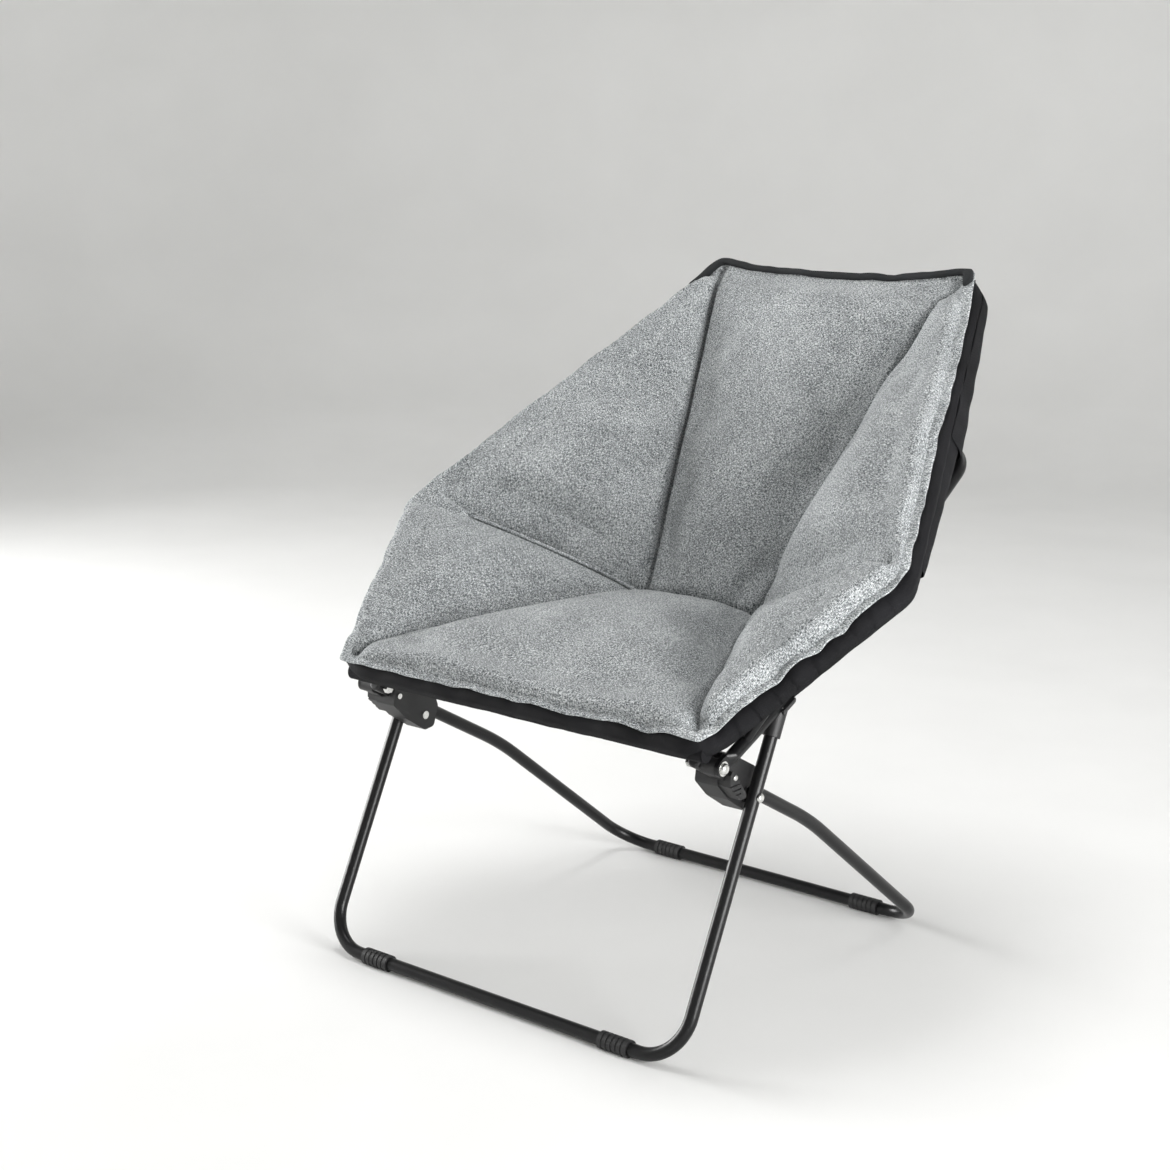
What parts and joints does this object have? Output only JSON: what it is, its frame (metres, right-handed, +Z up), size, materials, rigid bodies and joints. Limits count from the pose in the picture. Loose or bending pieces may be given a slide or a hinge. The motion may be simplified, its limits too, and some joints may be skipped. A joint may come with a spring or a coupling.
{
  "type": "folding saucer chair",
  "caption": "Folding saucer chair with a hexagonal padded bowl seat on a black tubular steel frame that folds at side pivots.",
  "frame": {"origin": "on the floor, midway between the frame's front and back extents, in the plane of symmetry", "axes": "+Z up, -Y towards the sitter's front, +X across the chair, towards the side nearer the camera in the picture"},
  "size_m": [0.775, 0.7468, 0.8431],
  "materials": {
    "black_steel": "satin powder coat",
    "black_plastic": "moulded, slightly ribbed",
    "zinc_fastener": "bright zinc plate",
    "black_cloth": "plain woven polyester",
    "grey_cloth": "heathered plush weave",
    "dark_binding": "woven tape"
  },
  "bodies": {
    "rear_leg": {"rear_leg": "black_steel", "rear_leg_caps": "black_plastic", "bracket_right": "black_plastic", "bracket_left": "black_plastic", "clamp_screws": "zinc_fastener", "scissor_rivets": "zinc_fastener", "pivot_bolts": "zinc_fastener", "pivot_nuts": "zinc_fastener", "rear_foot_sleeves": "black_plastic"},
    "front_leg": {"front_leg": "black_steel", "saddle_right": "black_plastic", "saddle_left": "black_plastic", "front_foot_sleeves": "black_plastic"},
    "saucer": {"support_frame": "black_steel", "ring_front_half": "black_steel", "ring_back_half": "black_steel", "ring_joiners": "black_steel", "ring_posts": "black_steel", "ring_struts": "black_steel", "sling": "black_cloth", "cushion": "grey_cloth", "top_binding": "dark_binding"}
  },
  "joints": [
    {"name": "leg_scissor", "type": "hinge", "parent": "rear_leg", "child": "front_leg", "pos_m": [0, -0.22922, 0.288], "axis": [1, 0, 0], "range_deg": [0, 63]},
    {"name": "seat_swing", "type": "hinge", "parent": "rear_leg", "child": "saucer", "pos_m": [0, -0.2929, 0.336], "axis": [1, 0, 0], "range_deg": [0, 105]}
  ],
  "couplings": [
    {"joint": "seat_swing", "follows": "leg_scissor", "ratio": 1.6667}
  ]
}
